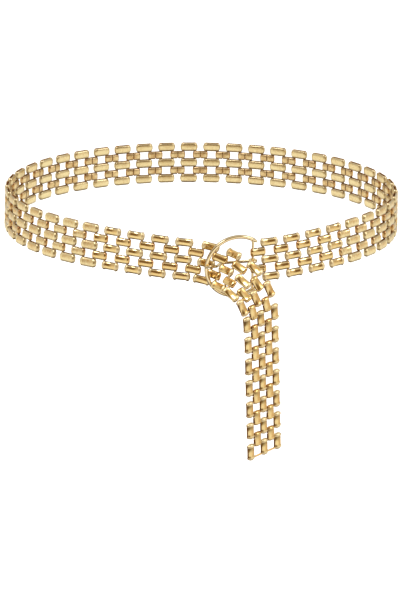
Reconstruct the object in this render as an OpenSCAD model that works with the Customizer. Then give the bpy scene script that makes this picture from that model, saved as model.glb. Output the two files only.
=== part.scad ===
// A chain belt of folded bricks in five rows, worn round the waist: it is fastened by a wire
// ring with a bar and a prong, and its free end hangs down as a tail. The origin is the middle
// of the waist loop at half the belt's width, +X is to the wearer's left as seen from the front,
// -Y is the front, and +Z is up.

/* [Link] */
// Length of an outer brick, in rows 1, 3 and 5
outer_brick_l = 11.5; // [10.4:0.1:13]
// Length of an inner brick, in rows 2 and 4
inner_brick_l = 10; // [8.6:0.1:11.4]
// Thickness of the belt, over the folded strip
link_t = 3.2; // [2.9:0.05:3.5]
// Thickness of the strip that a brick is folded from
strip_t = 0.45; // [0.35:0.05:0.5]
// Height of a brick, across the belt
brick_h = 5.1; // [4.6:0.1:6]
// Gap between two rows
row_gap = 0.5; // [0.45:0.05:0.7]
// Diameter of the pins across the belt
pin_d = 1.15; // [0.9:0.05:1.15]
// How much wider than the brick is high the round of an outer brick's ends is
end_round_extra = 0.3; // [0.2:0.1:2]
// Seam that an inner brick's strip leaves open on the inside of the belt
seam = 1; // [0.4:0.1:2]

/* [Waist loop] */
// Outer columns round the waist, from the bar to the last one before the ring
loop_columns = 44; // [36:1:60]
// Depth of the loop as a share of its width
loop_ratio = 0.8; // [0.7:0.01:0.95]
// How far the bar stands to one side of the front middle, in degrees round the loop
bar_angle = 15; // [8:1:22]
// How far the buckle hangs below the rest of the loop
buckle_sag = 5; // [0:0.5:8]
// Lean of the belt's wall at the sides of the front, bottom edge outwards, in degrees
flare_front = 8; // [0:0.5:10]
// Lean of the belt's wall at the back, in degrees
flare_back = 2; // [0:0.5:5]

/* [Buckle] */
// Diameter of the ring, to the middle of its wire
ring_d = 39; // [36:0.5:42]
// Diameter of the ring's wire
ring_wire_d = 2.3; // [1.9:0.1:2.4]
// Distance from the ring's middle to the bar
bar_offset = 10; // [8:0.5:11]
// Diameter of the bar
bar_d = 1.5; // [1.2:0.05:1.6]
// Distance round the loop from the column under the ring's far side to the bar
buckle_gap = 28; // [27:0.5:30]
// Lean of the ring, top outwards, in degrees
ring_lean = 7.5; // [5:0.5:9]
// How far the ring's middle hangs below the middle of the belt
ring_drop = 2.5; // [1.5:0.5:3.5]
// Diameter of the prong's wire
prong_d = 1.7; // [1.4:0.1:1.8]

/* [Tail] */
// Columns in the free end that hangs straight below the buckle
hanging_columns = 5; // [2:1:9]

/* [Hidden] */
$fn = 32;

gold = [0.86, 0.70, 0.40];
pale_gold = [0.93, 0.80, 0.52];

// Room between two pieces that touch on the real belt
clear = 0.15;
// How far the round of an outer brick's ends reaches past the fold at its end
end_reach = 0.1;
// Room between the ring's wire and the upper edge of the column that it lies on
ring_clear = 0.2;
// Solid brass between a pin and the slot in an outer brick
pin_seat = 0.35;
// How far the ring's wire runs past the bar, in degrees round the ring
stub_angle = 9;
// How far the prong's tip runs past the ring's wire, on either side of it
prong_tip = 2;
// Where the prong has come to behind the strap: along the belt and inwards from its window
prong_dive = [3.5, 4.5];
// How much thicker than its wire the prong is at a bend and at its tip
bend_extra = 0.1;
// How much thicker than its wire the prong's eye is
eye_extra = 0.2;
// Angle of the ring's middle round the loop, from the front middle
ring_angle = 10;
// Spread of the buckle's sag, in degrees round the loop
sag_spread = 26;

// What follows from the sizes above
outer_pins = outer_brick_l - link_t;
inner_pins = inner_brick_l - link_t;
pitch = outer_pins + inner_pins;
row_pitch = brick_h + row_gap;
belt_w = 5 * brick_h + 4 * row_gap;
slot_t = link_t - 2 * strip_t;
loop_len = loop_columns * pitch + outer_pins / 2 + inner_pins + buckle_gap;
half_w = loop_len / (PI * (3 * (1 + loop_ratio) - sqrt((3 + loop_ratio) * (1 + 3 * loop_ratio))));
half_d = half_w * loop_ratio;

// The strap's route through the ring, a row for each column that follows the loop's last one
// (the ring's far side lies on the first of them):
// bend about the pins (inwards is positive), dip of the strap's nose within its own plane,
// twist (top edge inwards is positive), all in degrees, and how far the two columns are
// pushed together, as a share of an inner brick's pin spacing
BEND = 0;
DIP = 1;
TWIST = 2;
PUSH = 3;
strap_route = [
    [6, 9.5, 2, 0.08],
    [-45, 2, 19, 0.14],
    [27, 14, 15, 0.22],
    [38, 15, 10, 0.2],
    [17, 11, 0, 0.12],
    [-3, 5, 2, 0],
];
tail_row = [0, 0, 0, 0.02];
route = concat(strap_route, [for (i = [1:hanging_columns]) tail_row]);

// Vectors and frames. A frame is a matrix: x runs along the belt, y inwards and z up the pins
function unit(v) = v / norm(v);
function frame(along, up, at) =
    let (x = unit(along), z = unit(up - (up * x) * x), y = cross(z, x))
    [[x.x, y.x, z.x, at.x], [x.y, y.y, z.y, at.y], [x.z, y.z, z.z, at.z], [0, 0, 0, 1]];
function point(m, p) = let (q = m * [p.x, p.y, p.z, 1]) [q.x, q.y, q.z];
function along(m) = [m[0][0], m[1][0], m[2][0]];
function inwards(m) = [m[0][1], m[1][1], m[2][1]];
function up(m) = [m[0][2], m[1][2], m[2][2]];
function raise(d) = [[1, 0, 0, 0], [0, 1, 0, 0], [0, 0, 1, d], [0, 0, 0, 1]];
function slide(d) = [[1, 0, 0, d], [0, 1, 0, 0], [0, 0, 1, 0], [0, 0, 0, 1]];
function bend_m(a) = [[cos(a), -sin(a), 0, 0], [sin(a), cos(a), 0, 0], [0, 0, 1, 0], [0, 0, 0, 1]];
function dip_m(a) = [[cos(a), 0, sin(a), 0], [0, 1, 0, 0], [-sin(a), 0, cos(a), 0], [0, 0, 0, 1]];
function twist_m(a) = [[1, 0, 0, 0], [0, cos(a), sin(a), 0], [0, -sin(a), cos(a), 0], [0, 0, 0, 1]];

// The waist loop: an ellipse that sags at the buckle. Angles run from +X towards the back
function off_front(t, from) = (t - from + 90 + 540) % 360 - 180;
function sag(t) = buckle_sag * exp(-pow(off_front(t, ring_angle) / sag_spread, 2));
function loop_point(t) = [half_w * cos(t), half_d * sin(t), -sag(t)];
function speed(t) = norm([half_w * sin(t), half_d * cos(t)]) * PI / 180;
function step(t, s) = t + s / speed(t + s / speed(t) / 2);
function flare(t) =
    let (front = (1 - sin(t)) / 2)
    flare_back * (1 - front) + flare_front * front * pow(sin(2 * t), 2);
function loop_frame(t) =
    let (x = unit(loop_point(t + 0.1) - loop_point(t - 0.1)), y = unit(cross([0, 0, 1], x)))
    frame(x, cos(flare(t)) * [0, 0, 1] + sin(flare(t)) * y, loop_point(t));
function walk(t, n) = n == 0 ? [] : concat([t], walk(step(t, pitch), n - 1));

t_bar = bar_angle - 90;
loop_frames = [for (t = walk(step(t_bar, inner_pins + outer_pins / 2), loop_columns)) loop_frame(t)];
last_column = loop_frames[loop_columns - 1];

// The strap: each column follows from the one before it and its row of the route
function half_turn(r) = bend_m(r[BEND] / 2) * dip_m(r[DIP] / 2) * twist_m(r[TWIST] / 2);
function next_column(m, r) =
    m * slide(outer_pins / 2) * half_turn(r) * slide(inner_pins * (1 - r[PUSH])) * half_turn(r)
    * slide(outer_pins / 2);
function strap(m, i) = i == len(route) ? []
    : let (n = next_column(m, route[i])) concat([n], strap(n, i + 1));
strap_frames = strap(last_column, 0);
ringed_column = strap_frames[0];

// An inner brick lies midway between the pin at frame a and the first pin of column b
function inner_frame(a, b, row) =
    let (p = point(a, [0, 0, row * row_pitch]), q = point(b, [-outer_pins / 2, 0, row * row_pitch]))
    frame(q - p, up(a) + up(b), (p + q) / 2);

// The buckle: its bar stands in the loops of the belt's first inner bricks, and the far side of
// its ring lies on the front of the strap's first column
ring_lift = link_t / 2 + ring_wire_d / 2 + ring_clear + belt_w / 2 * tan(ring_lean);
ring_along = loop_point(t_bar) - point(ringed_column, [0, -ring_lift, 0]);
bar_up = up(loop_frame(t_bar)) - tan(ring_lean) * inwards(loop_frame(t_bar));
hook_frame = frame(ring_along, bar_up, loop_point(t_bar));
bar_frame = hook_frame * raise(-ring_drop);
ring_r = ring_d / 2;
bar_half = sqrt(ring_r * ring_r - bar_offset * bar_offset);

module along_z_stadium(spacing, d, h) {
    linear_extrude(height = h, center = true) {
        square([spacing, d], center = true);
        for (s = [-1, 1])
            translate([s * spacing / 2, 0])
                circle(d = d);
    }
}

// A plate whose ends are round in twelve flats to a turn, with a flat across each end
module round_ended_plate(l, w, t) {
    flats = 12;
    linear_extrude(height = t, center = true) {
        square([l - w, w], center = true);
        for (s = [-1, 1])
            translate([s * (l - w) / 2, 0])
                rotate([0, 0, 180 / flats])
                    circle(d = w / cos(180 / flats), $fn = flats);
    }
}

// Its ends are rounded as seen from the front, and it is hollow between the pins
module outer_brick() {
    slot = outer_pins - pin_d - 2 * pin_seat - slot_t;
    difference() {
        intersection() {
            along_z_stadium(outer_pins, link_t, brick_h);
            rotate([90, 0, 0])
                round_ended_plate(outer_brick_l + 2 * end_reach, brick_h + end_round_extra, link_t + 1);
        }
        along_z_stadium(slot, slot_t, brick_h + 1);
    }
}

// Three bricks riveted on two pins
module outer_column() {
    for (row = [-2, 0, 2])
        translate([0, 0, row * row_pitch])
            outer_brick();
    for (s = [-1, 1])
        translate([s * outer_pins / 2, 0, 0])
            cylinder(d = pin_d, h = belt_w - brick_h, center = true);
}

// A loop that turns freely on two pins, with its open seam on the inside of the belt
module inner_brick() {
    difference() {
        along_z_stadium(inner_pins, link_t, brick_h);
        along_z_stadium(inner_pins, slot_t, brick_h + 1);
        translate([0, link_t / 2, 0])
            cube([seam, link_t - slot_t, brick_h + 1], center = true);
    }
}

// The two inner bricks between pin a, in its own frame, and the next column b
module inner_pair(a, b) {
    for (row = [-1, 1])
        multmatrix(inner_frame(a, b, row))
            inner_brick();
}

module waist_chain() {
    color(gold) {
        inner_pair(hook_frame, loop_frames[0]);
        for (i = [0:loop_columns - 1])
            multmatrix(loop_frames[i])
                outer_column();
        for (i = [1:loop_columns - 1])
            inner_pair(loop_frames[i - 1] * slide(outer_pins / 2), loop_frames[i]);
    }
}

module tail_chain() {
    frames = concat([last_column], strap_frames);
    color(gold)
        for (i = [1:len(frames) - 1]) {
            inner_pair(frames[i - 1] * slide(outer_pins / 2), frames[i]);
            multmatrix(frames[i])
                outer_column();
        }
}

// A wire ring, open past the bar that is soldered across it
module buckle_ring() {
    bar_side = acos(bar_offset / ring_r) - stub_angle;
    color(pale_gold)
        multmatrix(bar_frame) {
            translate([-bar_offset, 0, 0])
                rotate([90, 0, 0])
                    rotate([0, 0, bar_side])
                        rotate_extrude(angle = 360 - 2 * bar_side)
                            translate([ring_r, 0])
                                circle(d = ring_wire_d);
            cylinder(d = bar_d, h = 2 * bar_half, center = true);
        }
}

// The prong: an eye round the bar, and a wire that comes up through the window between the
// strap's first two columns, and lies on the ring's far side
module prong() {
    eye_d = prong_d + eye_extra;
    eye_r = bar_d / 2 + clear + eye_d / 2;
    to_ring = bar_offset + sqrt(ring_r * ring_r - ring_drop * ring_drop);
    window = (point(ringed_column, [outer_pins / 2, 0, 0])
        + point(strap_frames[1], [-outer_pins / 2, 0, 0])) / 2;
    rest = point(hook_frame, [-to_ring, -ring_wire_d / 2 - prong_d / 2 - clear, 0]);
    path = [
        rest - prong_tip * along(hook_frame),
        rest + prong_tip * along(hook_frame),
        window,
        window + prong_dive[0] * along(hook_frame) + prong_dive[1] * inwards(hook_frame),
        point(hook_frame, [-eye_r, 0, 0]),
    ];
    color(pale_gold) {
        multmatrix(hook_frame)
            rotate_extrude()
                translate([eye_r, 0])
                    circle(d = eye_d);
        for (i = [0:len(path) - 2]) {
            rod(path[i], path[i + 1], prong_d);
            translate(path[i])
                sphere(d = prong_d + bend_extra);
        }
    }
}

// A round wire from p to q
module rod(p, q, d) {
    way = q - p;
    translate(p)
        rotate([0, acos(way.z / norm(way)), atan2(way.y, way.x)])
            cylinder(d = d, h = norm(way));
}

waist_chain();
tail_chain();
buckle_ring();
prong();
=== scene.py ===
# %% [markdown]
# A waist chain of folded brick links, dressed on its imported model.
#
# The real belt is brass strip, folded into short flat loops, hung on thin pins and plated in
# yellow gold. Five rows of these bricks stand side by side. The belt lies as it is worn: it
# goes round the waist, through a wire ring with a bar and a prong, and its free end hangs down.
# The model gives the size and place of everything, so the script first loads it and keeps
# its box.

# %% Load the imported model
import math

import bmesh
import bpy
from mathutils import Matrix, Vector


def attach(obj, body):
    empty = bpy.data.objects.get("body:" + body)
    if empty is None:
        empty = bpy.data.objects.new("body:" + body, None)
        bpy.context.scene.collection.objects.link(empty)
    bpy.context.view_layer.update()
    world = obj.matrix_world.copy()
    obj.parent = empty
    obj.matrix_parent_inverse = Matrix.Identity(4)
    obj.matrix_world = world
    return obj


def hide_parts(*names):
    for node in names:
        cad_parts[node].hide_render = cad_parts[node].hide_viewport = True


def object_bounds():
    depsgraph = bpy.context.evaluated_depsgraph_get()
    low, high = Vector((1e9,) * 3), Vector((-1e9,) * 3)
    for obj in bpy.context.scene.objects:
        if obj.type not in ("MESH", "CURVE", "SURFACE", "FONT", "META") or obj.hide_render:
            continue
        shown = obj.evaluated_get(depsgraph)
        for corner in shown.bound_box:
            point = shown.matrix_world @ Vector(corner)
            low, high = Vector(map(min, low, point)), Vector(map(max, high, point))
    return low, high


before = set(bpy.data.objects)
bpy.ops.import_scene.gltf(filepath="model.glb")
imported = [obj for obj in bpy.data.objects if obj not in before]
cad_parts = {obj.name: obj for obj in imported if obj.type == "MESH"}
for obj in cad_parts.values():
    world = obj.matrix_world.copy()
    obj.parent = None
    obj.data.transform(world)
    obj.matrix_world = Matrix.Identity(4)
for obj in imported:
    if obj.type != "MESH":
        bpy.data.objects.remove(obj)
cad_low, cad_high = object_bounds()
MM = 0.001
print("model box in mm:", [round(size / MM, 1) for size in cad_high - cad_low])

# %% [markdown]
# The camera comes first, because everything else is judged through it. The belt was pictured
# from far away with a long lens, a little from above. The place of the loop's middle in the
# picture and its scale there fix the aim. A lens shift could move the belt up in the frame, but
# the camera turns down to frame the hanging end instead, so other views keep a plain camera.

# %% Camera at the photograph's angle
PICTURE_W, PICTURE_H = 401, 601
ELEVATION = math.radians(17.2)
ROLL = math.radians(0.86)
DISTANCE = 2192 * MM
PX_PER_M = 1.563 / MM
MIDDLE_PX = Vector((201.2, 206.3))
SENSOR = 36.0
NEAREST, FURTHEST = 0.05, 100


def make_camera():
    """Puts the middle of the waist loop at its pixel in the picture."""
    ahead = Vector((0, math.cos(ELEVATION), -math.sin(ELEVATION)))
    right = Vector((1, 0, 0))
    down = ahead.cross(right)
    offset = MIDDLE_PX - Vector((PICTURE_W, PICTURE_H)) / 2
    offset.rotate(Matrix.Rotation(-ROLL, 2))
    place = -DISTANCE * ahead
    aim = -(right * offset.x + down * offset.y) / PX_PER_M
    data = bpy.data.cameras.new("camera")
    data.sensor_width = SENSOR
    data.lens = SENSOR * PX_PER_M * DISTANCE / PICTURE_H
    data.clip_start, data.clip_end = NEAREST, FURTHEST
    camera = bpy.data.objects.new("camera", data)
    turn = (aim - place).to_track_quat("-Z", "Y").to_matrix().to_4x4()
    camera.matrix_world = Matrix.Translation(place) @ turn @ Matrix.Rotation(ROLL, 4, "Z")
    bpy.context.scene.collection.objects.link(camera)
    bpy.context.scene.camera = camera
    return camera


camera = make_camera()
print("lens of", round(camera.data.lens), "mm")

# %% [markdown]
# Shader maths could be wired node by node, but it reads best as sums. This class wraps a
# socket, and Python's own operators then add the Math nodes. Every other node comes from its
# one method, which sets the node's settings first and then fills or links its inputs.


# %% Shader sums
# Which output is read of Texture Coordinate, of Attribute and of Mix
DIRECTION, OBJECT_PLACE = 0, 3
MARK_VALUE = 2
MIXED_COLOUR = 2


class Shade:
    """A shader socket that can be added, taken away and multiplied."""

    def __init__(self, tree, socket=None):
        self.tree = tree
        self.socket = socket

    def node(self, kind, settings=None, inputs=None, output=0):
        made = self.tree.nodes.new("ShaderNode" + kind)
        for name, value in (settings or {}).items():
            if name == "stops":
                self.fill_ramp(made.color_ramp, value)
            else:
                setattr(made, name, value)
        for name, value in (inputs or {}).items():
            if isinstance(value, Shade):
                self.tree.links.new(value.socket, made.inputs[name])
            else:
                made.inputs[name].default_value = value
        return Shade(self.tree, made.outputs[output] if made.outputs else None)

    @staticmethod
    def fill_ramp(ramp, stops):
        while len(ramp.elements) < len(stops):
            ramp.elements.new(0.5)
        for element, (place, colour) in zip(ramp.elements, stops):
            element.position = place
            element.color = (*colour, 1.0)

    def sum(self, operation, first, second):
        return self.node("Math", {"operation": operation}, {0: first, 1: second})

    def __add__(self, other):
        return self.sum("ADD", self, other)

    __radd__ = __add__

    def __sub__(self, other):
        return self.sum("SUBTRACT", self, other)

    def __rsub__(self, other):
        return self.sum("SUBTRACT", other, self)

    def __mul__(self, other):
        return self.sum("MULTIPLY", self, other)

    __rmul__ = __mul__

    def size(self):
        return self.node("Math", {"operation": "ABSOLUTE"}, {0: self})

    def mix(self, factor, first, second):
        """A colour between two others: the first where the factor is 0."""
        first, second = (c if isinstance(c, Shade) else (*c, 1.0) for c in (first, second))
        inputs = {"Factor": factor, "A": first, "B": second}
        return self.node("Mix", {"data_type": "RGBA"}, inputs, MIXED_COLOUR)

    def ramp(self, low, high):
        """0 below low and 1 above high, smooth between them."""
        settings = {"interpolation_type": "SMOOTHSTEP"}
        return self.node("MapRange", settings, {"Value": self, "From Min": low, "From Max": high})


# %% [markdown]
# Polished gold has no colour of its own to show: it shows the room. Photographers of
# jewellery light from all round and leave a dark strip in front, which draws a dark line where
# a surface starts to lean back. Paper cards round the belt would do that, but a ramp in the
# world is easier to tune. So the world here changes with height, one way in front and another
# way at the sides. In front its dark strip lies a little above what an upright brick mirrors.
# Overhead and behind it is dimmer, which draws the top edges on a white ground.

# %% Studio room
# Height, from 0 straight down to 1 straight up, and the colour of the light from there
SIDES = [
    (0.0, (0.12, 0.08, 0.05)),
    (0.12, (0.4, 0.36, 0.3)),
    (0.25, (1.1, 1.08, 1.05)),
    (0.4, (1.1, 1.08, 1.05)),
    (0.5, (0.9, 0.87, 0.82)),
    (0.62, (0.75, 0.71, 0.65)),
    (0.75, (1.0, 0.97, 0.92)),
    (1.0, (0.85, 0.82, 0.76)),
]
DARK_STRIP = (0.25, 0.155, 0.065)
IN_FRONT = [
    (0.0, (0.14, 0.08, 0.03)),
    (0.1, (0.3, 0.22, 0.13)),
    (0.17, (1.05, 1.02, 0.98)),
    (0.33, (1.2, 1.17, 1.13)),
    (0.4, (1.0, 0.96, 0.9)),
    (0.44, DARK_STRIP),
    (0.7, DARK_STRIP),
    (0.76, (0.85, 0.81, 0.74)),
    (0.84, (1.05, 1.01, 0.94)),
    (1.0, (0.7, 0.66, 0.58)),
]
# Where the front, the sides, the back and the room's upper half begin and are reached in full
FRONT_RAMP = (0.1, 0.5)
SIDE_RAMP = (0.55, 0.9)
BACK_RAMP = (0.35, 0.9)
UPPER_RAMP = (0.2, 0.6)
DIM_BEHIND = 0.15


def make_room():
    world = bpy.data.worlds.new("room")
    bpy.context.scene.world = world
    world.use_nodes = True
    tree = world.node_tree
    tree.nodes.clear()
    start = Shade(tree)
    way = start.node("TexCoord", output=DIRECTION)
    across, back, height = (start.node("SeparateXYZ", None, {0: way}, output=n) for n in range(3))
    # Height runs from -1 to 1, and a ramp's stops from 0 to 1
    level = height * 0.5 + 0.5
    in_front = (0 - back).ramp(*FRONT_RAMP) * (1 - across.size().ramp(*SIDE_RAMP))
    colour = start.mix(
        in_front,
        start.node("ValToRGB", {"stops": SIDES}, {0: level}),
        start.node("ValToRGB", {"stops": IN_FRONT}, {0: level}),
    )
    behind = back.ramp(*BACK_RAMP) * (1 - height.ramp(*UPPER_RAMP))
    light = start.node("Background", None, {"Color": colour, "Strength": 1 - behind * DIM_BEHIND})
    start.node("OutputWorld", None, {"Surface": light})


make_room()
print("a room with", len(SIDES), "tones at its sides and", len(IN_FRONT), "in front")

# %% [markdown]
# A belt that hangs in an empty world would look cut out. So a pale floor lies some way under it
# and takes soft shadows. A plane with a bright material would throw a white sheen up into the
# gold, and the floor is therefore hidden from reflections, so that the metal sees the lit room
# from every side. Two square lamps give the belt a bright side and a soft one.

# %% Floor and lights
FLOOR_DROP = 90 * MM
FLOOR_SIZE = 40.0
FLOOR_WHITE, FLOOR_GLOW = 0.9, 0.45
# Place, width and watts
KEY_LIGHT = ((-1.2, -1.6, 2.4), 1.2, 38)
FILL_LIGHT = ((1.8, -1.0, 1.4), 1.0, 16)


def end_mesh(name, bm):
    mesh = bpy.data.meshes.new(name)
    bm.to_mesh(mesh)
    bm.free()
    return mesh


def make_floor():
    bm = bmesh.new()
    bmesh.ops.create_grid(bm, x_segments=1, y_segments=1, size=FLOOR_SIZE / 2)
    bmesh.ops.translate(bm, vec=(0, 0, cad_low.z - FLOOR_DROP), verts=bm.verts)
    mesh = end_mesh("floor", bm)
    material = bpy.data.materials.new("floor_paper")
    material.use_nodes = True
    shader = material.node_tree.nodes["Principled BSDF"]
    shader.inputs["Base Color"].default_value = (FLOOR_WHITE, FLOOR_WHITE, FLOOR_WHITE, 1)
    shader.inputs["Roughness"].default_value = 1.0
    shader.inputs["Emission Color"].default_value = (1, 1, 1, 1)
    shader.inputs["Emission Strength"].default_value = FLOOR_GLOW
    mesh.materials.append(material)
    floor = bpy.data.objects.new("floor", mesh)
    bpy.context.scene.collection.objects.link(floor)
    floor.visible_glossy = False


def make_light(name, place, width, watts):
    """A square lamp that faces the middle of the belt."""
    data = bpy.data.lights.new(name, "AREA")
    data.size = width
    data.energy = watts
    light = bpy.data.objects.new(name, data)
    light.location = place
    light.rotation_euler = (-Vector(place)).to_track_quat("-Z", "Y").to_euler()
    bpy.context.scene.collection.objects.link(light)


make_floor()
make_light("key", *KEY_LIGHT)
make_light("fill", *FILL_LIGHT)
bpy.context.scene.view_settings.view_transform = "Standard"
print("a floor and two lights")

# %% [markdown]
# The plate is yellow gold. The columns near the buckle and the whole tail are polished, and the
# rest is brushed to a satin with a softer tone of its own. Painted shade makes the colour redder
# and darker inside the folds, at the seams and on the pins, where light goes from wall to wall,
# and a painted dark reflection lies along each pressed panel. The edges are greyer and duller,
# partly worn and partly darkened by painted shade that draws their outline, and painted shade
# makes them red at the joints, where the bricks shade each other. The lobes of the polished
# bricks are rougher than the panels between them, and a painted highlight makes them paler. All
# this could be painted on, or done with a metal for each finish. Here marks on the mesh say where
# each of these is, so one metal serves every link and follows its shape. Three noises on the
# metal's own place add its patches, its mottle and its grain.

# %% Tones of gold and what changes them
GOLD = (0.86, 0.66, 0.3)
# The tone that painted shade in the folds, seams, pins and joints leads to, and the random tones
# too
DEEP_GOLD = (0.56, 0.28, 0.07)
PALE_GOLD = (0.89, 0.72, 0.42)
SATIN_GOLD = (0.9, 0.755, 0.41)
# Worn edges, darkened too by painted shade that draws their outline
WORN_AND_SHADED_GOLD = (0.45, 0.36, 0.23)
# Painted shade at the joints, where the bricks shade each other
JOINT_SHADE_GOLD = (0.36, 0.1, 0.02)
# A painted highlight on the polished lobes
LOBE_HIGHLIGHT_GOLD = (0.85, 0.71, 0.44)
# How rough the links are where polished and where brushed, and the wires
POLISHED, BRUSHED, WIRE_POLISH = 0.08, 0.28, 0.06
# Spots along a metre of metal for each noise, and how much finer detail it has
PATCH_SCALE, MOTTLE_SCALE, GRAIN_SCALE = 260.0, 900.0, 2600.0
PATCH_DETAIL, FINE_DETAIL = 3.0, 2.0
NOISE_MIDDLE = 0.5
# How far each mark and noise takes the colour towards the deep tone: the fold and joint marks as
# painted shade, and the tone and noises as the metal's own
FOLD_SHADE_DEPTH, JOINT_SHADE_DEPTH, TONE_DEPTH, PATCH_DEPTH = 0.85, 0.6, 0.15, 0.5
MOTTLE_DEPTH, SATIN_MOTTLE = 0.4, 0.8
# How far a rim is rubbed through its satin, and how far it is worn and darkened by painted shade
RIM_RUB, RIM_WEAR_AND_SHADE = 0.2, 0.9
# How much paler a polished lobe is painted as a highlight, and how much rougher it, a patch and a
# fold are
LOBE_HIGHLIGHT = 0.7
LOBE_ROUGH, PATCH_ROUGH, FOLD_ROUGH = 0.3, 0.06, 0.4
GRAIN_STRENGTH, GRAIN_DEPTH = 0.05, 0.1 * MM
print("roughness of the links:", POLISHED, "where polished and", BRUSHED, "where brushed")


# %% Gold finishes
def gold(name, light_tone, deep_tone, polished, brushed):
    """A metal that is painted towards deep_tone as shade inside its folds, and brushed where it is
    marked so.
    """
    material = bpy.data.materials.new(name)
    material.use_nodes = True
    tree = material.node_tree
    tree.nodes.clear()
    start = Shade(tree)
    place = start.node("TexCoord", output=OBJECT_PLACE)

    def mark(name):
        return start.node("Attribute", {"attribute_name": name}, output=MARK_VALUE)

    def noise(scale, detail):
        return start.node("TexNoise", None, {"Vector": place, "Scale": scale, "Detail": detail})

    fold, tone, rim, joint = mark("fold"), mark("tone"), mark("rim"), mark("joint")
    satin = mark("satin") * (1 - rim * RIM_RUB)
    polished_lobe = mark("lobe") * (1 - satin)
    patches = noise(PATCH_SCALE, PATCH_DETAIL)
    mottle = noise(MOTTLE_SCALE, FINE_DETAIL)
    mottling = satin * SATIN_MOTTLE + MOTTLE_DEPTH
    # Painted shade: the fold mark darkens folds, seams, pins and pressed panels, the joint mark the
    # joints
    depth = fold * FOLD_SHADE_DEPTH + joint * JOINT_SHADE_DEPTH + tone * TONE_DEPTH
    depth = depth + (patches - NOISE_MIDDLE) * PATCH_DEPTH + (mottle - NOISE_MIDDLE) * mottling
    light = start.mix(satin, light_tone, SATIN_GOLD)
    # Painted highlight: the polished lobes are painted paler
    light = start.mix(polished_lobe * LOBE_HIGHLIGHT, light, LOBE_HIGHLIGHT_GOLD)
    colour = start.mix(depth, light, deep_tone)
    # The rims grey partly as wear and partly as painted shade that draws their outline
    colour = start.mix(rim * RIM_WEAR_AND_SHADE, colour, WORN_AND_SHADED_GOLD)
    # Painted shade makes the rims at the joints red
    colour = start.mix(joint * rim, colour, JOINT_SHADE_GOLD)
    rough = satin * (brushed - polished) + polished + patches * PATCH_ROUGH
    rough = rough + fold * fold * FOLD_ROUGH + polished_lobe * LOBE_ROUGH
    grain = noise(GRAIN_SCALE, FINE_DETAIL)
    bump = {"Strength": GRAIN_STRENGTH, "Distance": GRAIN_DEPTH, "Height": grain}
    surface = {
        "Base Color": colour,
        "Roughness": rough,
        "Metallic": 1.0,
        "Normal": start.node("Bump", None, bump),
    }
    metal = start.node("BsdfPrincipled", None, surface)
    start.node("OutputMaterial", None, {"Surface": metal})
    return material


link_gold = gold("link_gold", GOLD, DEEP_GOLD, POLISHED, BRUSHED)
wire_gold = gold("wire_gold", PALE_GOLD, GOLD, WIRE_POLISH, WIRE_POLISH)
print("two gold finishes:", link_gold.name, "and", wire_gold.name)

# %% [markdown]
# These are the belt's own sizes in millimetres, the same as in the model's source, and the
# distances between pins follow from them. The belt's line is an ellipse that sags a little at
# the buckle, and its wall leans outwards at the sides of the front. A curve with an array along
# it could lay out the columns, but they are wanted as frames for bricks and pins to stand in.
# So each column's frame is worked out, one pitch further along that line than the last.

# %% Sizes of the links and the waist
OUTER_BRICK_L, INNER_BRICK_L = 11.5, 10.0
LINK_T = 3.2
BRICK_H, ROW_GAP = 5.1, 0.5
PIN_D = 1.15
OUTER_ROWS, INNER_ROWS = (-2, 0, 2), (-1, 1)
ROWS = len(OUTER_ROWS) + len(INNER_ROWS)
OUTER_PINS = OUTER_BRICK_L - LINK_T
INNER_PINS = INNER_BRICK_L - LINK_T
PITCH = OUTER_PINS + INNER_PINS
BELT_W = ROWS * BRICK_H + (ROWS - 1) * ROW_GAP

LOOP_COLUMNS, LOOP_RATIO = 44, 0.8
# Angles are in degrees from +X, and grow towards the back, so the front is at -90
FRONT = -90
BAR_ANGLE, RING_ANGLE = 15, 10
BAR_AT, RING_AT = FRONT + BAR_ANGLE, FRONT + RING_ANGLE
BUCKLE_SAG, SAG_SPREAD = 5, 26
FLARE_FRONT, FLARE_BACK = 8, 2
# The stretch of the line behind the ring that no column fills
BUCKLE_GAP = 28
LOOP_LEN = LOOP_COLUMNS * PITCH + OUTER_PINS / 2 + INNER_PINS + BUCKLE_GAP
# An ellipse is pi times this sum round, for a half width of 1
MEAN_SUM = 3 * (1 + LOOP_RATIO) - math.sqrt((3 + LOOP_RATIO) * (1 + 3 * LOOP_RATIO))
HALF_W = LOOP_LEN / (math.pi * MEAN_SUM)
HALF_D = HALF_W * LOOP_RATIO
print("loop", round(LOOP_LEN), "mm round,", round(2 * HALF_W), "by", round(2 * HALF_D), "mm")

# %% Line round the waist
NUDGE = 0.1


def sin(degrees):
    return math.sin(math.radians(degrees))


def cos(degrees):
    return math.cos(math.radians(degrees))


def sag(angle):
    """How low the line hangs, most of all at the ring."""
    off_ring = (angle - RING_AT + 180) % 360 - 180
    return BUCKLE_SAG * math.exp(-((off_ring / SAG_SPREAD) ** 2))


def loop_point(angle):
    return Vector((HALF_W * cos(angle), HALF_D * sin(angle), -sag(angle)))


def step(angle, length):
    """The angle that lies a length further along the ellipse."""

    def speed(at):
        return math.hypot(HALF_W * sin(at), HALF_D * cos(at)) * math.pi / 180

    return angle + length / speed(angle + length / speed(angle) / 2)


def flare(angle):
    """The wall's lean in degrees: most at the sides of the front, and little at the back."""
    front = (1 - sin(angle)) / 2
    return FLARE_BACK * (1 - front) + FLARE_FRONT * front * sin(2 * angle) ** 2


def stand(along, up, at):
    """A matrix whose x runs along the belt, y inwards and z up the pins."""
    x = along.normalized()
    z = (up - up.dot(x) * x).normalized()
    y = z.cross(x)
    return Matrix.Translation(at) @ Matrix((x, y, z)).transposed().to_4x4()


def loop_frame(angle):
    along = (loop_point(angle + NUDGE) - loop_point(angle - NUDGE)).normalized()
    inwards = Vector((0, 0, 1)).cross(along).normalized()
    up = cos(flare(angle)) * Vector((0, 0, 1)) + sin(flare(angle)) * inwards
    return stand(along, up, loop_point(angle))


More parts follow.
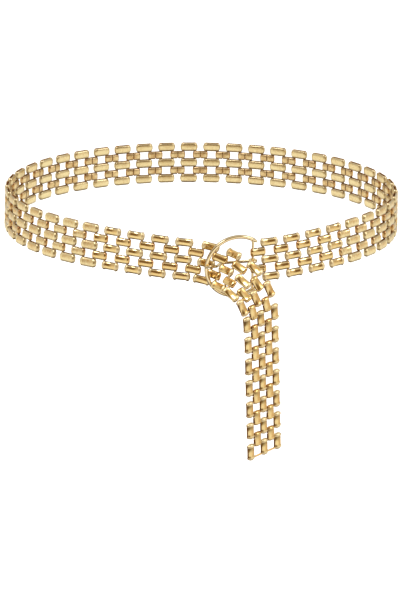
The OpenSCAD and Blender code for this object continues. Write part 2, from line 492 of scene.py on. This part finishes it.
angle = step(BAR_AT, INNER_PINS + OUTER_PINS / 2)
loop_columns = []
for _ in range(LOOP_COLUMNS):
    loop_columns.append(loop_frame(angle))
    angle = step(angle, PITCH)
print(len(loop_columns), "columns round the waist")

# %% [markdown]
# Past its last column the strap goes under the ring's far side, humps up over the bar, turns
# down and hangs. A simulation could drop it there, but a chain bends only at its pins, and how
# it lies can be seen. So its route is a short list that is given, and each row says
# how one column stands to the one before it: how far it bends, dips its nose and twists, and
# how closely the two are pushed together.

# %% The strap's route through the ring
BEND, DIP, TWIST, PUSH = 0, 1, 2, 3
STRAP_ROUTE = [
    [6, 9.5, 2, 0.08],
    [-45, 2, 19, 0.14],
    [27, 14, 15, 0.22],
    [38, 15, 10, 0.2],
    [17, 11, 0, 0.12],
    [-3, 5, 2, 0],
]
TAIL_ROW = [0, 0, 0, 0.02]
HANGING_COLUMNS = 5


def slide(length):
    return Matrix.Translation((length, 0, 0))


def half_turn(row):
    """Half of a row's turn: the two pins of an inner brick share it."""
    bend = Matrix.Rotation(math.radians(row[BEND] / 2), 4, "Z")
    dip = Matrix.Rotation(math.radians(row[DIP] / 2), 4, "Y")
    twist = Matrix.Rotation(math.radians(-row[TWIST] / 2), 4, "X")
    return bend @ dip @ twist


strap_columns = []
column = loop_columns[-1]
for row in STRAP_ROUTE + [TAIL_ROW] * HANGING_COLUMNS:
    column = column @ slide(OUTER_PINS / 2) @ half_turn(row) @ slide(INNER_PINS * (1 - row[PUSH]))
    column = column @ half_turn(row) @ slide(OUTER_PINS / 2)
    strap_columns.append(column)
print(len(strap_columns), "columns in the strap and tail")

# %% [markdown]
# A brick is one strip of metal, folded round two pins so that its ends make knuckles, with a
# pressed panel between them. It could be a box with a bevel, but a box shows no hole from
# above and no knuckles. So a ten-sided circle is pulled apart at its middle, and its front is
# cut where the panel starts and pressed in. That is the fold seen from above. An inner brick is
# open at its seam, on the inside of the belt.

# %% The fold seen from above
FOLD_SIDES = 10
SEAM = 0.6
# Room for rounding where points are picked by their place
PICK = 0.01


def cut_across(bm, side, x):
    """Cuts the fold's front (side -1) or back (side 1) at x and at -x."""
    for sign in (-1, 1):
        verts = [v for v in bm.verts if v.co.y * side > 0]
        edges = [e for e in bm.edges if all(v in verts for v in e.verts)]
        bmesh.ops.bisect_plane(
            bm, geom=verts + edges, plane_co=(sign * x, 0, 0), plane_no=(1, 0, 0)
        )


def draw_fold(bm, spacing, panel, inner):
    """Draws the line of a strip round two pins, and returns where its panel ends."""
    slope_start, slope_end, press = panel
    panel_end = spacing / 2 - slope_end
    bmesh.ops.create_circle(bm, segments=FOLD_SIDES, radius=LINK_T / 2)
    turn = Matrix.Rotation(math.pi / FOLD_SIDES, 3, "Z")
    bmesh.ops.rotate(bm, matrix=turn, verts=bm.verts)
    for v in bm.verts:
        v.co.x += math.copysign(spacing / 2, v.co.x)
    cut_across(bm, -1, spacing / 2 - slope_start)
    cut_across(bm, -1, panel_end)
    for v in bm.verts:
        if v.co.y < 0 and abs(v.co.x) < panel_end + PICK:
            v.co.y += press
    cut_across(bm, 1, SEAM / 2 if inner else panel_end)
    if inner:
        middle = [e for e in bm.edges if all(v.co.y > 0 and abs(v.co.x) < SEAM for v in e.verts)]
        bmesh.ops.delete(bm, geom=middle, context="EDGES")
    return panel_end


# %% [markdown]
# The strip has a section of its own: it is thin, and its edges curve in, a little more on the
# front than on the back. Solidify and Bevel could give it that, but they can't mark the painted
# shade in a fold or a rim that is worn and darkened by painted shade. So the line of the fold is
# extruded round the section, ring after ring, until it closes, and each ring brings its own marks.

# %% The strip's section
SECTION_H = 5.35
BACK_EDGE, FRONT_EDGE = 0.5, 0.67
# Rise, how far the back and the front come in, and the marks for painted shade in the fold, for a
# rim that is worn and darkened by painted shade, and for painted shade on the panel, which is a
# painted dark reflection on its front. Five rows climb the outside of the strip, and the last two
# come down inside it
SECTION = [
    (0.375, -0.3, -0.33, 0, 0.7, 0),
    (1.1, -0.2, -0.34, 0, 0, 0),
    (2.4, 0, 0, 0, 0, 0.5),
    (1.1, 0.2, 0.34, 0, 0.7, 0),
    (0.375, 0.3, 0.33, 0, 1, 0),
    (0, 0.2, 0.18, 0.8, 0, 0.8),
    (-SECTION_H, 0, 0, 0.8, 0, 0.8),
]


def bring_in(v, spacing, back, front):
    """Moves a point towards the fold's middle, by less on the back than on the domed front."""
    reach = spacing / 2
    middle = Vector((max(-reach, min(reach, v.co.x)), 0, v.co.z))
    inwards = (middle - v.co).normalized()
    share = (1 + inwards.y) / 2
    v.co += (back * (1 - share) + front * share) * inwards


def extrude_section(bm, spacing, panel_end):
    """Takes the line of the fold round the strip's section until it closes."""
    fold, rim = bm.verts.layers.float["fold"], bm.verts.layers.float["rim"]
    for v in bm.verts:
        bring_in(v, spacing, BACK_EDGE, FRONT_EDGE)
        v.co.z = -SECTION_H / 2
        v[rim] = 1
    edges = bm.edges[:]
    first = edges[:]
    for rise, back, front, fold_shade, on_rim, panel_shade in SECTION:
        made = bmesh.ops.extrude_edge_only(bm, edges=edges)["geom"]
        edges = [g for g in made if isinstance(g, bmesh.types.BMEdge)]
        for v in (g for g in made if isinstance(g, bmesh.types.BMVert)):
            bring_in(v, spacing, back, front)
            v.co.z += rise
            on_panel = v.co.y < 0 and abs(v.co.x) < panel_end + PICK
            # Painted shade inside the fold, and on the panel's front a painted dark reflection; the
            # rim mark is wear and painted shade
            v[fold] = panel_shade if on_panel else fold_shade
            v[rim] = on_rim
    bmesh.ops.bridge_loops(bm, edges=first + edges)


# %% [markdown]
# The two kinds of brick part here. An outer brick is drawn in at its panel, and has a domed
# lobe at each side of it, marked for a painted highlight, and rounded ends, marked as worn and
# darkened by painted shade. Cutting the ends round would leave odd faces, so the rings of the
# section are squeezed towards the middle there. An inner brick keeps its straight ends, which turn
# between the outer ones and are marked as joints with painted shade, and the cut edges of its
# strip are filled at the seam, which is marked with painted shade too.

# %% Lobes, ends and seam
OUTER_H, INNER_H = 5.65, 4.85
# The dome is this much higher on a lobe's front than on its back
FRONT_TO_BACK_DOME = 3
END_REACH, END_POWER = 0.1, 2.6
# How far past its pin a brick's end starts, and how far before the pin a joint does
JOINT_REACH, JOINT_START = 0.55, 0.1
# Painted shade next to a joint and at an inner brick's seam
NEAR_JOINT, SEAM_SHADE = 0.35, 0.5


def shape_lobes(bm, spacing, panel_end, waist, dome, end_wear_and_shade):
    """Narrows an outer brick at its panel and domes the lobes at both sides of it."""
    rim, lobe = bm.verts.layers.float["rim"], bm.verts.layers.float["lobe"]
    for v in bm.verts:
        # The ends are marked as worn and darkened by painted shade that draws their outline
        if abs(v.co.x) > spacing / 2 + JOINT_REACH:
            v[rim] = max(v[rim], end_wear_and_shade)
        if abs(v.co.x) < panel_end + PICK:
            v.co.z *= waist
        else:
            # Marked for the painted highlight of a polished lobe
            v[lobe] = 1.0
            rise = dome * (2 * v.co.z / OUTER_H) ** 2
            bring_in(v, spacing, rise / FRONT_TO_BACK_DOME, rise)


def round_ends(bm, spacing):
    radius = OUTER_H / 2
    centre = (spacing + LINK_T) / 2 + END_REACH - radius
    for v in bm.verts:
        past = max(0, abs(v.co.x) - centre) / radius
        v.co.z *= (1 - past**END_POWER) ** (1 / END_POWER)


def close_seam(bm, spacing):
    """Fills an inner brick's open ends at its seam, and marks painted shade at its joints and the
    seam.
    """
    fold, joint = bm.verts.layers.float["fold"], bm.verts.layers.float["joint"]
    open_edges = [e for e in bm.edges if e.is_boundary]
    bmesh.ops.holes_fill(bm, edges=open_edges, sides=len(SECTION) + 1)
    for v in bm.verts:
        if abs(v.co.x) > spacing / 2 - JOINT_START:
            v[joint] = 1.0 if abs(v.co.x) > spacing / 2 + JOINT_REACH else NEAR_JOINT
        if v.co.y > 0 and abs(v.co.x) < SEAM:
            v[fold] = max(v[fold], SEAM_SHADE)


# %% [markdown]
# Three bricks and a pin are enough for the whole belt. A polished outer brick has a deep panel
# and a narrow waist, a satin one is plainer, and an inner one is lower than both. A finer brick
# would cost too much when it is repeated nearly three hundred times, so each is made once, as a
# template of about 130 faces. All of them carry every mark that the metal reads.

# %% Bricks and pin
# Painted shade deep in a fold, worn and painted shade at a rim, painted shade at a joint, a painted
# highlight on a lobe, the brick's tone, and brushed to a satin
MARKS = ("fold", "rim", "joint", "lobe", "tone", "satin")
# Where the panel's slope starts and ends, in from the pin, and how deep it is pressed
POLISHED_PANEL = (0.5, 1.1, 0.45)
SATIN_PANEL = (0.5, 1.1, 0.15)
INNER_PANEL = (0.0, 0.5, 0.2)
# Waist at the panel, dome of the lobes, and the ends' wear and painted shade
POLISHED_LOBES = (0.82, 0.45, 0.5)
SATIN_LOBES = (0.97, 0.15, 0.45)
PIN_SIDES = 8
PIN_SHORT = 0.65
# Painted shade on the pins, inside the knuckles
PIN_SHADE = 0.4


def start_mesh(marks):
    """An empty bmesh whose points can carry the named marks."""
    bm = bmesh.new()
    for mark in marks:
        bm.verts.layers.float.new(mark)
    return bm


def brick(spacing, height, panel, lobes=None):
    """A folded strip whose two pins stand spacing apart. Only an outer brick has lobes."""
    inner = lobes is None
    bm = start_mesh(MARKS)
    panel_end = draw_fold(bm, spacing, panel, inner)
    extrude_section(bm, spacing, panel_end)
    for v in bm.verts:
        v.co.z *= height / SECTION_H
    if inner:
        close_seam(bm, spacing)
    else:
        shape_lobes(bm, spacing, panel_end, *lobes)
        round_ends(bm, spacing)
    bmesh.ops.recalc_face_normals(bm, faces=bm.faces)
    return end_mesh("brick", bm)


def pin():
    bm = start_mesh(MARKS)
    length = BELT_W - 2 * PIN_SHORT
    bmesh.ops.create_cone(
        bm, cap_ends=True, segments=PIN_SIDES, radius1=PIN_D / 2, radius2=PIN_D / 2, depth=length
    )
    # The pin is marked for painted shade
    for v in bm.verts:
        v[bm.verts.layers.float["fold"]] = PIN_SHADE
    return end_mesh("pin", bm)


polished_brick = brick(OUTER_PINS, OUTER_H, POLISHED_PANEL, POLISHED_LOBES)
satin_brick = brick(OUTER_PINS, OUTER_H, SATIN_PANEL, SATIN_LOBES)
inner_brick = brick(INNER_PINS, INNER_H, INNER_PANEL)
column_pin = pin()
templates = (polished_brick, satin_brick, inner_brick, column_pin)
print("faces in a polished, satin and inner brick and a pin:", [len(t.polygons) for t in templates])

# %% [markdown]
# A column is three outer bricks on two pins, and two inner bricks join it to the next one, each
# midway between the two pins that it turns on. An Array modifier could repeat a link, but here
# each link leans a little by itself and carries marks of its own. So a chain is one mesh, and
# each link is added to it from its template and moved to its frame. Every brick has one of many
# tones, by steps that never come round to the same one.

# %% Links in their places
SHOWN_ROW_PITCH = (BELT_W - OUTER_H) / (ROWS - 1)
ROCK = 3.0
ROCK_STEP = 0.618
OUTER_ROCKS, INNER_ROCKS = 7, 9


def rock(number):
    """Each brick sits a little loose on its pins, so no two lean quite alike."""
    return Matrix.Rotation(math.radians(ROCK * (2 * (number * ROCK_STEP % 1) - 1)), 4, "X")


def add_part(bm, template, matrix, tone, satin, shares):
    """Adds a template at a frame, with its tone, its finish and shares of its own marks."""
    before = len(bm.verts)
    bm.from_mesh(template)
    bm.verts.ensure_lookup_table()
    layers = bm.verts.layers.float
    for v in bm.verts[before:]:
        v.co = matrix @ v.co
        v[layers["tone"]] = tone
        v[layers["satin"]] = satin
        for mark, share in shares.items():
            v[layers[mark]] *= share


def add_column(bm, column, tone, satin, shares):
    """Three outer bricks and the two pins that they share."""
    template = satin_brick if satin else polished_brick
    for row in OUTER_ROWS:
        place = column @ Matrix.Translation((0, 0, row * SHOWN_ROW_PITCH))
        add_part(bm, template, place @ rock(OUTER_ROCKS * tone + row), tone, satin, shares)
    for side in (-1, 1):
        add_part(bm, column_pin, column @ slide(side * OUTER_PINS / 2), tone, satin, shares)


def add_inner_pair(bm, pin_frame, column, tone, satin, shares):
    """The two inner bricks from the pin at pin_frame to the column's first pin."""
    next_pin = column @ slide(-OUTER_PINS / 2)
    up = pin_frame.col[2].to_3d() + next_pin.col[2].to_3d()
    for row in INNER_ROWS:
        lift = Vector((0, 0, row * SHOWN_ROW_PITCH))
        start, end = pin_frame @ lift, next_pin @ lift
        place = stand(end - start, up, (start + end) / 2)
        add_part(bm, inner_brick, place @ rock(INNER_ROCKS * tone + row), tone, satin, shares)


# %% [markdown]
# The buckle's bar stands in the loops of the belt's first two inner bricks, and the far side
# of its ring lies on the strap's first column. Turning the ring by eye would do for one view,
# but from another its far side would float. So the buckle's frame runs from the bar to that
# column, and it leans with the ring.

# %% Buckle frame
RING_D, RING_WIRE_D = 39, 2.3
BAR_OFFSET, BAR_D = 10, 1.5
RING_LEAN, RING_DROP = 7.5, 2.5
CLEAR, RING_CLEAR = 0.15, 0.2
RING_R = RING_D / 2
BAR_HALF = math.sqrt(RING_R**2 - BAR_OFFSET**2)

lean = math.tan(math.radians(RING_LEAN))
ring_lift = LINK_T / 2 + RING_WIRE_D / 2 + RING_CLEAR + BELT_W / 2 * lean
bar_loop = loop_frame(BAR_AT)
ring_along = loop_point(BAR_AT) - strap_columns[0] @ Vector((0, -ring_lift, 0))
bar_up = bar_loop.col[2].to_3d() - lean * bar_loop.col[1].to_3d()
hook_frame = stand(ring_along, bar_up, loop_point(BAR_AT))
bar_frame = hook_frame @ Matrix.Translation((0, 0, -RING_DROP))
print("the bar is", round(2 * BAR_HALF, 1), "mm long, and the ring leans", RING_LEAN, "degrees")

# %% [markdown]
# Now both chains can be made: the loop from the bar round to the buckle, and the strap from
# there on. The tail's edges carry less wear and painted shade, and more painted shade lies in
# its folds, since it hangs free and shows more of its own shadow. Each chain takes the place of
# its node in the model and rides on the body, and only faces that meet at a sharp angle keep a
# crease.

# %% Both chains
POLISHED_COLUMNS = 4
SATIN_COLUMNS = range(POLISHED_COLUMNS, LOOP_COLUMNS - POLISHED_COLUMNS)
INNER_TONES, OUTER_TONES = 0.37, 0.61
# Shares of the rims' wear and painted shade and of the folds' painted shade
WAIST_SHARES = {"rim": 1.0, "fold": 1.0}
TAIL_SHARES = {"rim": 0.4, "fold": 1.7}
LINK_CREASE, WIRE_CREASE = 50, 60


def dress(name, bm, material, node, crease):
    """Makes a piece in metres, shows it in place of its node and lets it ride on the body."""
    bmesh.ops.scale(bm, vec=(MM, MM, MM), verts=bm.verts)
    mesh = end_mesh(name, bm)
    mesh.shade_smooth()
    mesh.set_sharp_from_angle(angle=math.radians(crease))
    mesh.materials.append(material)
    piece = bpy.data.objects.new(name, mesh)
    bpy.context.scene.collection.objects.link(piece)
    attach(piece, "root")
    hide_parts(node)
    print(name, "has", len(mesh.polygons), "faces")


def chain(name, columns, first_pin, node, satin_columns, shares):
    """One mesh of all the columns, and the inner bricks before each of them."""
    bm = start_mesh(MARKS)
    pin_frame = first_pin
    for number, column in enumerate(columns):
        satin = float(number in satin_columns)
        add_inner_pair(bm, pin_frame, column, number * INNER_TONES % 1, satin, shares)
        add_column(bm, column, number * OUTER_TONES % 1, satin, shares)
        pin_frame = column @ slide(OUTER_PINS / 2)
    dress(name, bm, link_gold, node, LINK_CREASE)


chain("waist_links", loop_columns, hook_frame, "waist_chain", SATIN_COLUMNS, WAIST_SHARES)
tail_start = loop_columns[-1] @ slide(OUTER_PINS / 2)
chain("tail_links", strap_columns, tail_start, "tail_chain", (), TAIL_SHARES)

# %% [markdown]
# Ring, bar and prong are wire, with a section that is nearly round and a little flatter at four
# sides. A curve with a bevel would do for a wire of one thickness, but these grow thin at their
# ends and thick at the solder. So a circle is drawn once at the start of each wire and is
# extruded from station to station, which keeps its sides in line. Both ends are capped.

# %% Wire along stations
WIRE_SIDES = 16
FLATNESS = 3


def flatter(spot, radius):
    """Moves a circle's point out to the wire's flatter section."""
    reach = (abs(spot.x) ** FLATNESS + abs(spot.y) ** FLATNESS) ** (1 / FLATNESS)
    return spot * radius / reach


def wire(bm, stations):
    """Extrudes a circle through (matrix, radius) stations and caps both ends."""
    rim = bm.verts.layers.float["rim"]
    matrix, radius = stations[0]
    ends = bmesh.ops.create_circle(bm, segments=WIRE_SIDES, radius=radius, matrix=matrix)["verts"]
    edges = list({e for v in ends for e in v.link_edges})
    for v in ends:
        spot = matrix.inverted() @ v.co / radius
        v.co = matrix @ flatter(spot, radius)
        # Worn and darkened by painted shade most on the wire's inner and outer sides, which draws
        # its outline
        v[rim] = abs(spot.y) ** 2
    bmesh.ops.contextual_create(bm, geom=edges)
    for new_matrix, new_radius in stations[1:]:
        made = bmesh.ops.extrude_edge_only(bm, edges=edges)["geom"]
        edges = [g for g in made if isinstance(g, bmesh.types.BMEdge)]
        move = new_matrix @ Matrix.Scale(new_radius / radius, 4) @ matrix.inverted()
        for v in (g for g in made if isinstance(g, bmesh.types.BMVert)):
            v.co = move @ v.co
            # The same wear and painted shade along the wire
            v[rim] = abs((new_matrix.inverted() @ v.co).y / new_radius) ** 2
        matrix, radius = new_matrix, new_radius
    bmesh.ops.contextual_create(bm, geom=edges)


def line_up(points, radii, side):
    """Stations that stand square to a line of points."""
    stations = []
    for number, point in enumerate(points):
        before = points[max(number - 1, 0)]
        after = points[min(number + 1, len(points) - 1)]
        z = (after - before).normalized()
        x = (side - side.dot(z) * z).normalized()
        turn = Matrix((x, z.cross(x), z)).transposed().to_4x4()
        stations.append((Matrix.Translation(point) @ turn, radii[number]))
    return stations


def dress_wire(name, bm, node):
    bmesh.ops.recalc_face_normals(bm, faces=bm.faces)
    dress(name, bm, wire_gold, node, WIRE_CREASE)


# %% [markdown]
# The ring is a bow of wire, open past the bar that is soldered across it, with its two ends
# drawn thin. A torus would close where the real ring is open. So the bow is a row of points
# round a circle, and the bar is a straight wire that grows thick where the solder holds it.

# %% Ring with its bar
STUB_ANGLE = 9
RING_STEPS = 72
# Shares of the wire's thickness at its very ends, and one step before them
DRAWN_ENDS = (0.45, 0.8)
SOLDER_D = 2.0
# How far from the bar's end the solder is thick, and how far it reaches
SOLDER_THICK, SOLDER_REACH = 1.2, 2.2


def ring_point(angle):
    return bar_frame @ Vector((RING_R * cos(angle) - BAR_OFFSET, 0, RING_R * sin(angle)))


def buckle_ring():
    bm = start_mesh(["rim"])
    side = bar_frame.col[1].to_3d()
    first = math.degrees(math.acos(BAR_OFFSET / RING_R)) - STUB_ANGLE
    turn = (360 - 2 * first) / RING_STEPS
    points = [ring_point(first + turn * n) for n in range(RING_STEPS + 1)]
    radii = [RING_WIRE_D / 2] * len(points)
    for n, share in enumerate(DRAWN_ENDS):
        radii[n] *= share
        radii[-1 - n] *= share
    wire(bm, line_up(points, radii, side))
    upper_half = [
        (BAR_HALF - SOLDER_REACH, BAR_D / 2),
        (BAR_HALF - SOLDER_THICK, SOLDER_D / 2),
        (BAR_HALF, SOLDER_D / 2),
    ]
    bar = [(-height, radius) for height, radius in reversed(upper_half)] + upper_half
    points = [bar_frame @ Vector((0, 0, height)) for height, radius in bar]
    wire(bm, line_up(points, [radius for height, radius in bar], side))
    dress_wire("ring_and_bar", bm, "buckle_ring")


buckle_ring()

# %% [markdown]
# The prong is a wire with an eye round the bar. It runs behind the strap, comes up through the
# window between the strap's first two columns and lies on the ring. One smooth curve through
# its few points would swing wide of the strap. So each corner between them is drawn as a short
# bend of its own, with straight wire between the bends, as pliers would make it.

# %% Prong
PRONG_D, EYE_EXTRA = 1.7, 0.2
PRONG_TIP = 2
PRONG_DIVE = (3.5, 4.5)
BEND_REACH, BEND_SHARE, BEND_STEPS = 1.8, 0.45, 6
# Length of the tip's round end, and the shares of the wire's thickness there
TIP_ROUND = 0.5
TIP_SHARES = (0.5, 0.85)
EYE_STEP = 15


def bend_limit(corner, other):
    """The point on the way from a corner to another point where the corner's bend ends."""
    way = other - corner
    return corner + min(BEND_REACH, way.length * BEND_SHARE) * way.normalized()


def soft_corners(points):
    """The line through the points, with each of its corners drawn as a bend."""
    line = [points[0]]
    for before, corner, after in zip(points, points[1:], points[2:]):
        start, end = bend_limit(corner, before), bend_limit(corner, after)
        for n in range(BEND_STEPS + 1):
            t = n / BEND_STEPS
            line.append(start.lerp(corner, t).lerp(corner.lerp(end, t), t))
    return line + [points[-1]]


def prong():
    bm = start_mesh(["rim"])
    eye_d = PRONG_D + EYE_EXTRA
    eye_r = BAR_D / 2 + CLEAR + eye_d / 2
    to_ring = BAR_OFFSET + math.sqrt(RING_R**2 - RING_DROP**2)
    along = hook_frame.col[0].to_3d()
    inwards = hook_frame.col[1].to_3d()
    right_pin, left_pin = Vector((OUTER_PINS / 2, 0, 0)), Vector((-OUTER_PINS / 2, 0, 0))
    window = (strap_columns[0] @ right_pin + strap_columns[1] @ left_pin) / 2
    rest = hook_frame @ Vector((-to_ring, -(RING_WIRE_D + PRONG_D) / 2 - CLEAR, 0))
    tip = rest - PRONG_TIP * along
    bends = [
        tip,
        tip + TIP_ROUND * along,
        rest + PRONG_TIP * along,
        window,
        window + PRONG_DIVE[0] * along + PRONG_DIVE[1] * inwards,
        hook_frame @ Vector((-eye_r, 0, 0)),
    ]
    points = soft_corners(bends)
    radii = [PRONG_D / 2] * len(points)
    for n, share in enumerate(TIP_SHARES):
        radii[n] *= share
    wire(bm, line_up(points, radii, Vector((0, 0, 1))))
    turns = range(0, 360 + EYE_STEP, EYE_STEP)
    eye = [hook_frame @ Vector((eye_r * cos(turn), eye_r * sin(turn), 0)) for turn in turns]
    wire(bm, line_up(eye, [eye_d / 2] * len(eye), hook_frame.col[2].to_3d()))
    dress_wire("prong_wire", bm, "prong")


prong()
